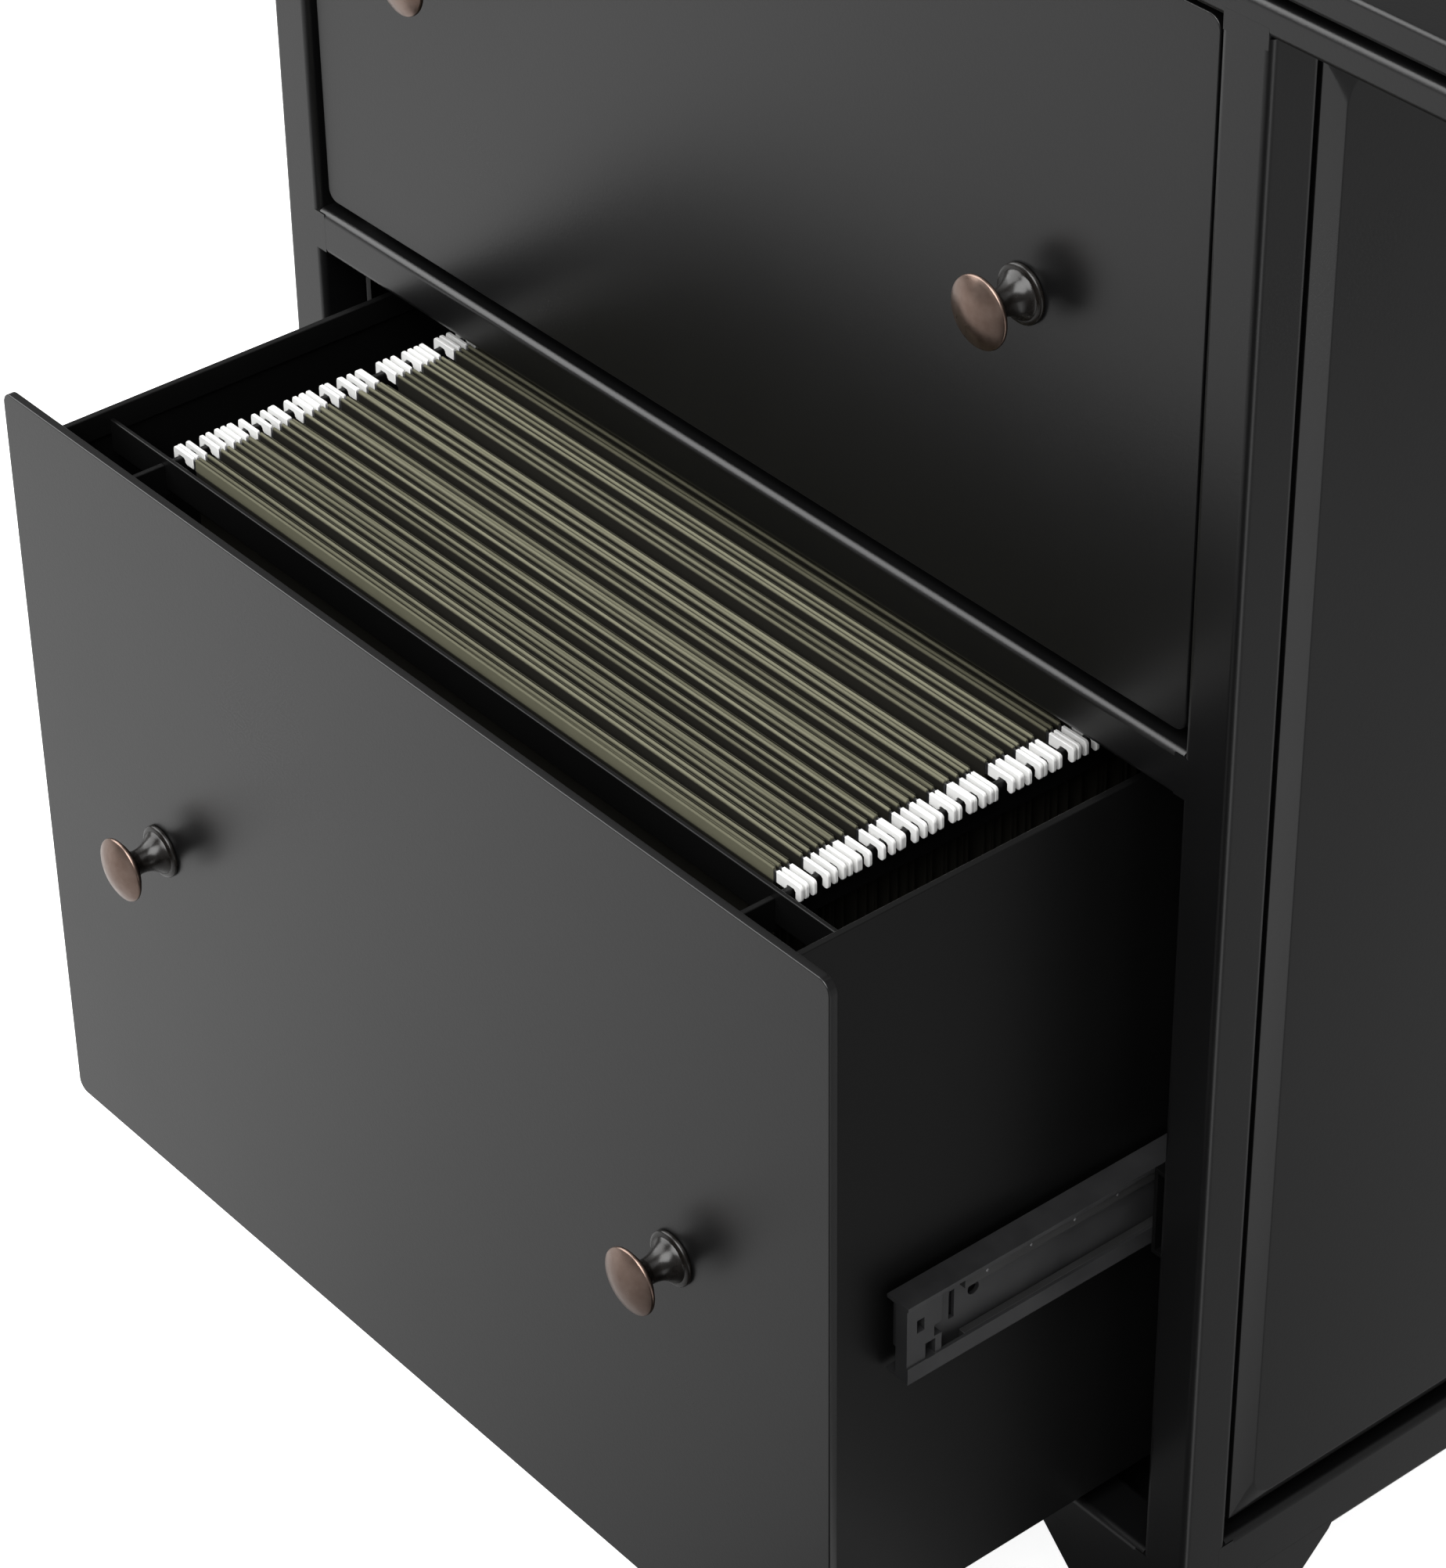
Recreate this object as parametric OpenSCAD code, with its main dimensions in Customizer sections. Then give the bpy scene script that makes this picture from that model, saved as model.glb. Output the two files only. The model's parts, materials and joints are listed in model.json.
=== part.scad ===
// Two-drawer steel filing cabinet with a tube frame, pressed side panels and
// ball-bearing drawer slides. The upper drawer is shut, the lower one stands open
// and carries hanging folders. Millimetres, +Z up, the drawers open towards -Y.

/* [Case] */
// Width over the legs
case_w = 460; // [420:1:520]
// Depth from the front face to the back face
case_d = 520; // [490:1:600]
// Side of the square frame tube
tube = 19; // [16:0.5:22]
// Height of the bottom rails above the floor
foot_h = 80; // [60:1:120]
// Height of the bottom rails
bottom_rail_h = 18; // [14:0.5:24]
// Height of the lower drawer opening
lower_open_h = 299; // [285:1:320]
// Height of the rail between the drawers
mid_rail_h = 16.5; // [14:0.5:24]
// Height of the upper drawer opening
upper_open_h = 234; // [200:1:260]
// Height of the rails under the top
top_rail_h = 10; // [9:0.5:16]
// Wall of the frame tube
tube_wall = 1.2; // [1:0.1:2]
// Outside corner radius of the frame tube
tube_r = 2.6; // [2:0.1:3.5]

/* [Top] */
// How far the top stands out past each side
overhang = 72; // [60:1:90]
// Thickness of the top
top_h = 10; // [8:0.5:16]
// Gap between the rails and the top
top_gap = 2.4; // [1.5:0.1:4]

/* [Panels and feet] */
// Thickness of the sheet steel
sheet = 1.2; // [0.8:0.1:1.5]
// Width of the sloping border of a side panel
bevel_w = 7; // [5:0.5:14]
// Height of a side panel's raised field
bevel_h = 3.5; // [2:0.5:5]
// Gap between a side panel and the frame round it
side_gap = 4.4; // [1:0.1:6]
// How far a foot gusset reaches in from the leg
gusset = 49; // [30:1:60]
// Thickness of a glide under a leg
glide_h = 4; // [3:0.5:6]

/* [Drawers] */
// Gap between a drawer front and the frame
front_gap = 2.5; // [2:0.1:4]
// Gap under the upper drawer front
upper_front_gap = 4; // [2.5:0.1:5]
// How far a shut drawer front stands behind the frame
recess = 3; // [2:0.5:5]
// Depth of the folded rim of a drawer front
front_t = 3.2; // [2.6:0.1:5]
// Corner radius of a drawer front
front_r = 4.5; // [3:0.5:8]
// Length of a drawer box
box_l = 450; // [430:1:460]
// How far the lower drawer stands open
opened = 134; // [110:1:200]
// Height of the upper drawer box
upper_box_h = 190; // [150:1:215]
// Height of the lower drawer box
lower_box_h = 281; // [260:1:283]

/* [Knobs] */
// Distance from the middle of a front to each knob
knob_x = 136; // [100:1:160]
// Diameter of a knob's head
knob_d = 23; // [22:0.2:30]
// Distance from the drawer front to the top of a knob's dome
knob_l = 20.5; // [20:0.5:30]
// Diameter of the round plate behind a knob
rose_d = 19; // [17:0.5:22]

/* [Slides] */
// Thickness of a drawer slide
slide_t = 12.7; // [12.7:0.1:13]
// Height of a slide's middle member
slide_h = 30.5; // [30.5:0.1:32]
// Height of the two members that it carries
rail_member_h = 17; // [16.6:0.1:17.2]
// Share of the drawer's travel that the middle members make
middle_share = 0.73; // [0.73:0.01:0.75]

/* [Folders] */
// Number of hanging folders in the lower drawer
folder_count = 48; // [20:1:60]
// Distance between two folders
folder_pitch = 3.1; // [2.8:0.1:4]
// Length of a folder's bar over its hooks
folder_bar = 317; // [310:1:322]
// Width of a folder's body
folder_w = 292; // [288:1:294]
// Height of a folder's body
folder_h = 236; // [225:1:240]

/* [Hidden] */
$fn = 48;
eps = 0.01;

// The case, from the floor up
leg_x = case_w / 2 - tube;
z_low = foot_h + bottom_rail_h;
z_mid = z_low + lower_open_h;
z_up = z_mid + mid_rail_h;
z_rail = z_up + upper_open_h;
z_gap = z_rail + top_rail_h;
z_top = z_gap + top_gap;
total_h = z_top + top_h;
half_top = case_w / 2 + overhang;

// The drawers
front_w = case_w - 2 * tube - 2 * front_gap;
lower_front_h = lower_open_h - 2 * front_gap;
upper_front_h = upper_open_h - front_gap - upper_front_gap;
lower_front_z = z_low + front_gap;
upper_front_z = z_up + upper_front_gap;
bracket_t = 11.6;
box_half = leg_x - bracket_t - slide_t;
box_y = recess + front_t;
box_clear = 9;
lower_box_z = z_mid - box_clear - lower_box_h;
upper_box_z = upper_front_z + box_clear;
bottom_lift = 6;
hem_h = 9;
upper_slide_rise = 75;
lower_slide_drop = 167;
upper_slide_z = upper_box_z + upper_slide_rise;
lower_slide_z = z_mid - lower_slide_drop;
middle_y = box_y + 0.8;
outer_y = middle_y + 18;
middle_out = opened * middle_share;

// The whole model is centred front to back on its outline at rest
y_front = recess - opened - knob_l;
y_shift = -(y_front + case_d) / 2;

// The file frame in the lower drawer
bar_inset = 22;
bar_drop = 24.4;
bar_y = box_y + bar_inset;
bar_z = z_mid - bar_drop;
rail_x = 154;
first_folder_y = bar_y + 6;

// ---- Shared shapes -------------------------------------------------------------

// Everything is drawn from the case's front face and then centred
module framed() { translate([0, y_shift, 0]) children(); }

// What moves with the lower drawer, and with its middle slide members
module lower_out() { translate([0, -opened, 0]) children(); }
module lower_middle_out() { translate([0, -middle_out, 0]) children(); }

// Left and right copies
module both_sides() { children(); mirror([1, 0, 0]) children(); }

// A rectangle with true round corners, centred
module round_rect(w, h, r) {
    square([w - 2 * r, h], center = true);
    square([w, h - 2 * r], center = true);
    for (x = [-1, 1], y = [-1, 1])
        translate([x * (w / 2 - r), y * (h / 2 - r)]) circle(r);
}

// The frame tube's section, hollow
module tube_section(w, h) {
    difference() {
        round_rect(w, h, tube_r);
        round_rect(w - 2 * tube_wall, h - 2 * tube_wall, tube_r - tube_wall);
    }
}

// A tube along X, from its low corner
module tube_x(length, d, h) {
    translate([0, d / 2, h / 2]) rotate([90, 0, 90]) linear_extrude(length) tube_section(d, h);
}

// A tube along Y, from its low corner
module tube_y(length, w, h) {
    translate([w / 2, length, h / 2]) rotate([90, 0, 0]) linear_extrude(length) tube_section(w, h);
}

// A screw with a pan head, pointing up along +Z from under its head
module pan_screw(d, length, head_d, head_h) {
    cylinder(d = d, h = length);
    translate([0, 0, -head_h]) difference() {
        cylinder(d = head_d, h = head_h);
        translate([0, 0, -eps]) cylinder(d = head_d * 0.42, h = head_h * 0.5, $fn = 6);
    }
}

// ---- Frame ---------------------------------------------------------------------

module leg(side, back) {
    y = back ? case_d - tube : 0;
    x = side < 0 ? -case_w / 2 : leg_x;
    color("#2b2b2b") framed() translate([x + tube / 2, y + tube / 2, glide_h])
        linear_extrude(z_rail - glide_h) tube_section(tube, tube);
}
module leg_front_left() { leg(-1, false); }
module leg_front_right() { leg(1, false); }
module leg_back_left() { leg(-1, true); }
module leg_back_right() { leg(1, true); }

screw_x = [-half_top + 40, -80, 80, half_top - 40];
screw_y = [tube / 2 + 2, case_d - tube / 2 - 2];
spacer_d = 12;
top_screw_d = 4;

// A long rail that carries the top, drilled for the top's screws
module top_rail(y) {
    color("#2b2b2b") framed() translate([0, 0, z_rail]) difference() {
        translate([-half_top, y, 0]) tube_x(2 * half_top, tube, top_rail_h);
        for (x = screw_x, hole_y = screw_y) translate([x, hole_y, -1])
            cylinder(d = top_screw_d + 0.5, h = top_rail_h + 2);
    }
}
module top_rail_front() { top_rail(0); }
module top_rail_back() { top_rail(case_d - tube); }

side_rail_drop = 9;
side_rail_rise = 6;
side_top = z_rail - side_rail_drop;
side_bottom = z_low + side_rail_rise;

// Four short rails between the long ones: two at the ends, and two deeper ones that
// close the sides of the case over its panels
module top_cross_rails() {
    length = case_d - 2 * tube;
    color("#2b2b2b") framed() both_sides() {
        translate([half_top - tube, tube, z_rail]) tube_y(length, tube, top_rail_h);
        translate([leg_x, tube, side_top]) tube_y(length, tube, top_rail_h + side_rail_drop);
    }
}

module mid_rail_front() {
    color("#2b2b2b") framed() translate([-leg_x, 0, z_mid]) tube_x(2 * leg_x, tube, mid_rail_h);
}

module bottom_rail(y) {
    color("#2b2b2b") framed() translate([-leg_x, y, foot_h])
        tube_x(2 * leg_x, tube, bottom_rail_h);
}
module bottom_rail_front() { bottom_rail(0); }
module bottom_rail_back() { bottom_rail(case_d - tube); }

// The side rails stand a little higher than the front and back ones
module bottom_side_rails() {
    color("#2b2b2b") framed() both_sides() translate([leg_x, tube, foot_h])
        tube_y(case_d - 2 * tube, tube, bottom_rail_h + side_rail_rise);
}

gusset_t = 3;

// One gusset: a plate with a sloping lower edge, drawn from the leg outwards
module gusset_plate() {
    linear_extrude(gusset_t) polygon([[0, 0], [gusset, 0], [0, -gusset]]);
}

// Two gussets on each leg, flush with the faces of the frame
module foot_gussets() {
    color("#2b2b2b") framed() both_sides() {
        for (y = [gusset_t, case_d])
            translate([-leg_x, y, foot_h]) rotate([90, 0, 0]) gusset_plate();
        translate([case_w / 2 - gusset_t, tube, foot_h]) rotate([90, 0, 90]) gusset_plate();
        translate([case_w / 2, case_d - tube, foot_h]) rotate([90, 0, -90]) gusset_plate();
    }
}

// A plastic glide under each leg, with a plug up into the tube
module foot_glides() {
    plug = tube - 2 * tube_wall - 0.4;
    color("#101010") framed() both_sides() for (y = [tube / 2, case_d - tube / 2])
        translate([leg_x + tube / 2, y, 0]) {
            linear_extrude(glide_h) round_rect(tube, tube, tube_r);
            linear_extrude(glide_h + 12) round_rect(plug, plug, 1.5);
        }
}

// ---- Panels --------------------------------------------------------------------

// A pressed sheet whose field stands out from its edge, as a shell open to the inside
module pressed_shell(w, h, rise) {
    difference() {
        pressed_body(w, h, rise, 0);
        translate([0, 0, -sheet]) pressed_body(w, h, rise, sheet);
    }
}
module pressed_body(w, h, rise, shrink) {
    field_r = 9;
    hull() {
        translate([0, 0, -eps]) cube([w - 2 * shrink, h - 2 * shrink, eps * 2], center = true);
        translate([0, 0, rise - eps]) linear_extrude(eps) {
            square([w - 2 * (bevel_w + field_r), h - 2 * bevel_w], center = true);
            square([w - 2 * bevel_w, h - 2 * (bevel_w + field_r)], center = true);
            for (x = [-1, 1], y = [-1, 1])
                translate([x * (w / 2 - bevel_w - field_r), y * (h / 2 - bevel_w - field_r)])
                    circle(field_r, $fn = 32);
        }
    }
}

module side_panel_right() {
    w = case_d - 2 * tube - 2 * side_gap;
    h = side_top - side_bottom - 2 * side_gap;
    lip = 10;
    color("#262626") framed()
        translate([case_w / 2 - bevel_h - 0.4, case_d / 2, (side_bottom + side_top) / 2])
            rotate([90, 0, 90]) union() {
                pressed_shell(w, h, bevel_h);
                translate([0, 0, -lip]) linear_extrude(lip + eps) difference() {
                    square([w, h], center = true);
                    square([w - 2 * sheet, h - 2 * sheet], center = true);
                }
            }
}
module side_panel_left() { mirror([1, 0, 0]) side_panel_right(); }

back_screw_x = leg_x - 6;
back_screw_z = [z_low + 40, (z_low + z_rail) / 2, z_rail - 40];
back_panel_y = case_d - 4;
panel_gap = 0.5;

// The back sheet lies between the legs on two upright strips at its edges
module back_panel() {
    w = 2 * leg_x - 2 * panel_gap;
    h = z_rail - z_low - 2 * panel_gap;
    color("#232323") framed() translate([0, back_panel_y, (z_low + z_rail) / 2])
        rotate([90, 0, 0]) difference() {
            union() {
                linear_extrude(sheet) square([w, h], center = true);
                for (s = [-1, 1]) translate([s * (w / 2 - 6), 0, sheet - eps])
                    linear_extrude(sheet + eps) square([12, h], center = true);
            }
            for (s = [-1, 1], z = back_screw_z)
                translate([s * (back_screw_x - 0.5), z - (z_low + z_rail) / 2, -1])
                    cylinder(d = 3.4, h = 5);
        }
}

module back_screws() {
    color("#3a3a3a") framed() both_sides() for (z = back_screw_z)
        translate([back_screw_x - 0.5, back_panel_y, z]) rotate([90, 0, 0])
            pan_screw(3, 6, 6, 1.8);
}

// A shallow pan that closes the case under the lower drawer
module floor_pan() {
    w = 2 * leg_x - 1;
    d = case_d - 2 * tube - 1;
    color("#202020") framed() translate([-w / 2, tube + 0.5, foot_h + 4]) {
        cube([w, d, sheet]);
        for (y = [0, d - sheet]) translate([0, y, 0]) cube([w, sheet, 9]);
    }
}

// ---- Top -----------------------------------------------------------------------

// The top is an inverted tray of sheet steel with true round corners
module top_panel() {
    color("#2e2e2e") framed() translate([0, case_d / 2, z_top]) difference() {
        linear_extrude(top_h) round_rect(2 * half_top, case_d, 4);
        translate([0, 0, -1]) linear_extrude(top_h - sheet + 1)
            round_rect(2 * half_top - 2 * sheet, case_d - 2 * sheet, 4 - sheet);
    }
    color("#2e2e2e") framed() for (x = screw_x, y = screw_y)
        translate([x, y, z_top]) difference() {
            cylinder(d = 11, h = top_h - sheet + eps);
            translate([0, 0, -1]) cylinder(d = top_screw_d, h = 7);
        }
}

// Washers that hold the top clear of the rails
module top_spacers() {
    color("#151515") framed() for (x = screw_x, y = screw_y)
        translate([x, y, z_gap]) difference() {
            cylinder(d = spacer_d, h = top_gap);
            translate([0, 0, -1]) cylinder(d = top_screw_d + 0.4, h = top_gap + 2);
        }
}

module top_screws() {
    color("#555555") framed() for (x = screw_x, y = screw_y)
        translate([x, y, z_rail]) pan_screw(top_screw_d, top_rail_h + top_gap + 5, 8, 2.4);
}

// ---- Slides --------------------------------------------------------------------

bracket_h = 34;
bracket_wall = 1.5;
member_t = 1.2;
middle_t = 1.5;
web_x = 5.5;
slide_screw_y = [60, 220, 400];

// Four channels on the insides of the legs, to which the slides are screwed. They
// stop short of the strips behind the back sheet
module slide_brackets() {
    start = middle_y + 2;
    length = back_panel_y - 2 * sheet - 0.6 - start;
    color("#1e1e1e") framed() both_sides() for (z = [lower_slide_z, upper_slide_z])
        translate([leg_x - bracket_t, start, z - bracket_h / 2]) difference() {
            cube([bracket_t, length, bracket_h]);
            translate([bracket_wall, -1, bracket_wall])
                cube([bracket_t, length + 2, bracket_h - 2 * bracket_wall]);
            for (y = slide_screw_y) translate([-1, y - start, bracket_h / 2])
                rotate([0, 90, 0]) cylinder(d = 3.6, h = 4);
        }
}

// A shallow channel for the two outside members, its web at x = 0 and its flanges to +x
module channel(length, depth) {
    rotate([90, 0, 0]) translate([0, 0, -length]) linear_extrude(length) difference() {
        translate([0, -rail_member_h / 2]) square([depth, rail_member_h]);
        translate([member_t, -rail_member_h / 2 + member_t])
            square([depth, rail_member_h - 2 * member_t]);
    }
}

// The member that is screwed to the case
module outer_member(side, z) {
    length = box_l - 18;
    color("#4a4a4a") framed() scale([side, 1, 1])
        translate([box_half + slide_t, outer_y, z]) mirror([1, 0, 0]) difference() {
            channel(length, 5.1);
            for (y = slide_screw_y) translate([-1, y - outer_y, 0])
                rotate([0, 90, 0]) cylinder(d = 3.6, h = 4);
        }
}
module upper_outer_member_right() { outer_member(1, upper_slide_z); }
module upper_outer_member_left() { mirror([1, 0, 0]) outer_member(1, upper_slide_z); }
module lower_outer_member_right() { outer_member(1, lower_slide_z); }
module lower_outer_member_left() { mirror([1, 0, 0]) outer_member(1, lower_slide_z); }

// Screws through the outer members into the brackets
module slide_screws() {
    color("#555555") framed() both_sides() for (z = [lower_slide_z, upper_slide_z],
                                                y = slide_screw_y)
        translate([box_half + slide_t - member_t, y, z]) rotate([0, 90, 0])
            pan_screw(3.2, 5.5, 6, 1.6);
}

// The middle member: an I section with a lip along its lower edge, and a stop plate
// and holes at its front end
module middle_member(z) {
    flange_lo = 1.5;
    flange_w = 9.7;
    lip_h = (slide_h - rail_member_h) / 2 - 0.4;
    stop_l = 14;
    color("#3c3c3c") framed() translate([box_half, middle_y, z]) difference() {
        union() {
            rotate([90, 0, 0]) translate([0, 0, -box_l]) linear_extrude(box_l) {
                translate([web_x, -slide_h / 2]) square([middle_t, slide_h]);
                for (s = [-1, 1]) translate([flange_lo, s * (slide_h - middle_t) / 2 - middle_t / 2])
                    square([flange_w, middle_t]);
                translate([flange_lo + flange_w - member_t, -slide_h / 2]) square([member_t, lip_h]);
            }
            translate([web_x, 0, -slide_h / 2]) cube([5.2, stop_l, slide_h]);
        }
        // Notches and a hole through the stop plate
        translate([web_x + middle_t, 4, 3]) cube([8, 3, 5]);
        translate([web_x + middle_t, 7.5, -9]) cube([8, 4, 6]);
        translate([web_x + middle_t, stop_l - 3, -2]) cube([8, 4, 4.5]);
        translate([-1, 30, 4]) rotate([0, 90, 0]) cylinder(d = 4.6, h = 16);
        translate([0, 20, -3]) cube([16, 2.2, 11]);
    }
}
module upper_middle_member_right() { middle_member(upper_slide_z); }
module upper_middle_member_left() { mirror([1, 0, 0]) middle_member(upper_slide_z); }
module lower_middle_member_right() { lower_middle_out() middle_member(lower_slide_z); }
module lower_middle_member_left() {
    lower_middle_out() mirror([1, 0, 0]) middle_member(lower_slide_z);
}

ball_d = 3;
ball_pitch = 18;

// The ball strips above and below in both channels of a middle member
module ball_cages(z) {
    strip_z = slide_h / 2 - middle_t;
    strip_h = strip_z - rail_member_h / 2 - 0.4;
    strip_w = 2.6;
    strip_l = box_l - 90;
    color("#141414") framed() both_sides() translate([box_half, middle_y + 24, z])
        for (s = [-1, 1], x = [web_x - 0.3 - strip_w, web_x + middle_t + 0.3])
            translate([x, 0, s > 0 ? strip_z - strip_h : -strip_z])
                cube([strip_w, strip_l, strip_h]);
}
module upper_ball_cages() { ball_cages(upper_slide_z); }
module lower_ball_cages() { lower_middle_out() ball_cages(lower_slide_z); }

// The member that is fixed to the drawer box, with a release lever at its front end
module inner_member(z) {
    lever = [3, 30, 10];
    set_back = 40;
    color("#3c3c3c") framed() translate([box_half, middle_y + set_back, z]) {
        channel(box_l - 2 - set_back, 4.9);
        translate([member_t, 6, -lever[2] / 2]) cube(lever);
    }
}
module upper_inner_member_right() { inner_member(upper_slide_z); }
module upper_inner_member_left() { mirror([1, 0, 0]) inner_member(upper_slide_z); }
module lower_inner_member_right() { lower_out() inner_member(lower_slide_z); }
module lower_inner_member_left() { lower_out() mirror([1, 0, 0]) inner_member(lower_slide_z); }

// ---- Drawers -------------------------------------------------------------------

knob_screw_d = 4;

// A drawer front: a sheet with a shallow rim folded back all round
module drawer_front(z, h) {
    color("#303030") framed() translate([0, recess, z + h / 2]) rotate([90, 0, 0])
        translate([0, 0, -front_t]) difference() {
            linear_extrude(front_t) round_rect(front_w, h, front_r);
            translate([0, 0, -1]) linear_extrude(front_t - sheet + 1)
                round_rect(front_w - 2 * sheet, h - 2 * sheet, front_r - sheet);
            for (x = [-knob_x, knob_x]) translate([x, 0, -1])
                cylinder(d = knob_screw_d + 0.4, h = front_t + 2);
        }
}
module upper_drawer_front() { drawer_front(upper_front_z, upper_front_h); }
module lower_drawer_front() { lower_out() drawer_front(lower_front_z, lower_front_h); }

// The wall of the box behind the front, drilled for the knobs
module box_front(z, h, knob_z) {
    color("#1c1c1c") framed() translate([-box_half + sheet, box_y, z]) difference() {
        cube([2 * (box_half - sheet), sheet, h]);
        for (x = [-knob_x, knob_x]) translate([x + box_half - sheet, -1, knob_z - z])
            rotate([-90, 0, 0]) cylinder(d = knob_screw_d + 0.4, h = 4);
    }
}
module upper_box_front() {
    box_front(upper_box_z, upper_box_h, upper_front_z + upper_front_h / 2);
}
module lower_box_front() {
    lower_out() box_front(lower_box_z, lower_box_h, lower_front_z + lower_front_h / 2);
}

// A side wall with a hem along its top
module box_side(z, h) {
    color("#1c1c1c") framed() translate([box_half - sheet, box_y, z]) {
        cube([sheet, box_l, h]);
        translate([-sheet, sheet, h - hem_h]) cube([sheet + eps, box_l - 2 * sheet, hem_h]);
    }
}
module upper_box_right() { box_side(upper_box_z, upper_box_h); }
module upper_box_left() { mirror([1, 0, 0]) box_side(upper_box_z, upper_box_h); }
module lower_box_right() { lower_out() box_side(lower_box_z, lower_box_h); }
module lower_box_left() { lower_out() mirror([1, 0, 0]) box_side(lower_box_z, lower_box_h); }

module box_back(z, h) {
    color("#1c1c1c") framed() translate([-box_half + sheet, box_y + box_l - sheet, z])
        cube([2 * (box_half - sheet), sheet, h]);
}
module upper_box_back() { box_back(upper_box_z, upper_box_h); }
module lower_box_back() { lower_out() box_back(lower_box_z, lower_box_h); }

module box_bottom(z) {
    color("#1a1a1a") framed() translate([-box_half + sheet, box_y + sheet, z + bottom_lift])
        cube([2 * (box_half - sheet), box_l - 2 * sheet, sheet]);
}
module upper_box_bottom() { box_bottom(upper_box_z); }
module lower_box_bottom() { lower_out() box_bottom(lower_box_z); }

// ---- Knobs ---------------------------------------------------------------------

rose_h = 3.6;

// Places a knob part on its drawer front, pointing out of it
module on_front(z) {
    framed() for (x = [-knob_x, knob_x]) translate([x, recess, z]) rotate([90, 0, 0]) children();
}

// A round plate with a stepped and dished face
module rose() {
    rotate_extrude() polygon([[2.4, 0], [rose_d / 2, 0], [rose_d / 2, 1.6],
                              [rose_d / 2 - 1.2, 2.4], [rose_d / 2 - 3, 2.8],
                              [5.2, rose_h], [2.4, rose_h]]);
}

// A waisted neck that flares into a wide domed head
module knob() {
    r = knob_d / 2;
    head_z = knob_l - 4.6;
    dome = [for (a = [0 : 10 : 90]) [r * cos(a), head_z + (knob_l - head_z) * sin(a)]];
    flare_z = rose_h + 6.5;
    flare_h = head_z - 1.6 - flare_z;
    neck = [for (a = [0 : 15 : 90]) [4.2 + 5 * (1 - cos(a)), flare_z + flare_h * sin(a)]];
    difference() {
        rotate_extrude() polygon(concat([[0, rose_h], [6.4, rose_h], [6, rose_h + 1.4],
                                         [4.6, rose_h + 4]],
                                        neck, [[r - 1.2, head_z - 1.1], [r - 0.2, head_z - 0.6]],
                                        dome));
        translate([0, 0, rose_h - 1]) cylinder(d = knob_screw_d, h = 10);
    }
}
module upper_knobs() { color("#7a5442") on_front(upper_front_z + upper_front_h / 2) knob(); }
module upper_knob_roses() { color("#2a211d") on_front(upper_front_z + upper_front_h / 2) rose(); }
module lower_knobs() {
    color("#7a5442") lower_out() on_front(lower_front_z + lower_front_h / 2) knob();
}
module lower_knob_roses() {
    color("#2a211d") lower_out() on_front(lower_front_z + lower_front_h / 2) rose();
}

// A screw from inside the box, through both sheets and the rose, into the knob
module knob_screw() {
    translate([0, 0, -front_t - sheet]) pan_screw(knob_screw_d, front_t + sheet + rose_h + 8, 8, 2);
}
module upper_knob_screws() {
    color("#555555") on_front(upper_front_z + upper_front_h / 2) knob_screw();
}
module lower_knob_screws() {
    color("#555555") lower_out() on_front(lower_front_z + lower_front_h / 2) knob_screw();
}

// ---- Hanging folders -----------------------------------------------------------

bar_t = 1.6;
bar_h = 12;
rail_t = 2;
rail_drop = 3;
back_bar_y = box_y + box_l - bar_inset - 2;

// Two flat bars between the hems of the box, notched over the rails
module file_bars() {
    reach = box_half - 2 * sheet;
    color("#202020") lower_out() framed() for (y = [bar_y, back_bar_y])
        translate([0, y, bar_z]) difference() {
            translate([-reach, 0, 0]) cube([2 * reach, bar_t, bar_h]);
            for (x = [-rail_x, rail_x]) translate([x - rail_t / 2, -1, -eps])
                cube([rail_t, bar_t + 2, bar_h - rail_drop + eps]);
        }
}

// Two flat rails from the front wall to the back wall, through the bars' notches
module file_rails() {
    color("#202020") lower_out() framed() for (x = [-rail_x, rail_x])
        translate([x - rail_t / 2, box_y + sheet, bar_z - rail_drop])
            cube([rail_t, box_l - 2 * sheet, bar_h]);
}

hook_t = 1.1;
hook_top = 2.4;
folder_top = bar_z + bar_h - rail_drop + hook_top;

// The folders as one pleated block: a crest for each folder, a low valley between two
module folders() {
    valley = 9;
    thick = folder_pitch * 0.62;
    profile = [for (i = [0 : folder_count - 1], p = [[0, -valley], [0, 0], [thick, 0],
                                                      [thick, -valley]])
                  [first_folder_y + i * folder_pitch + p[0], folder_top + p[1]]];
    end_y = first_folder_y + (folder_count - 1) * folder_pitch + thick;
    color("#5b5a45") lower_out() framed() translate([-folder_w / 2, 0, 0]) rotate([90, 0, 90])
        linear_extrude(folder_w) polygon(concat(
            [[first_folder_y, folder_top - folder_h]], profile,
            [[end_y, folder_top - folder_h]]));
}

// A hook at each end of every folder's bar, lying on the file rails
module folder_hooks() {
    reach = folder_bar / 2 - folder_w / 2;
    inside = rail_x - rail_t / 2 - folder_w / 2 - 0.3;
    tip = 3;
    color("#e8e8e8") lower_out() framed() both_sides() for (i = [0 : folder_count - 1])
        translate([folder_w / 2, first_folder_y + (i + 0.1) * folder_pitch, folder_top]) {
            translate([0, 0, -hook_top]) cube([reach, hook_t, hook_top]);
            translate([0, 0, -6]) cube([inside, hook_t, 6]);
            translate([reach - tip, 0, -5]) cube([tip, hook_t, 5]);
        }
}

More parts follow.
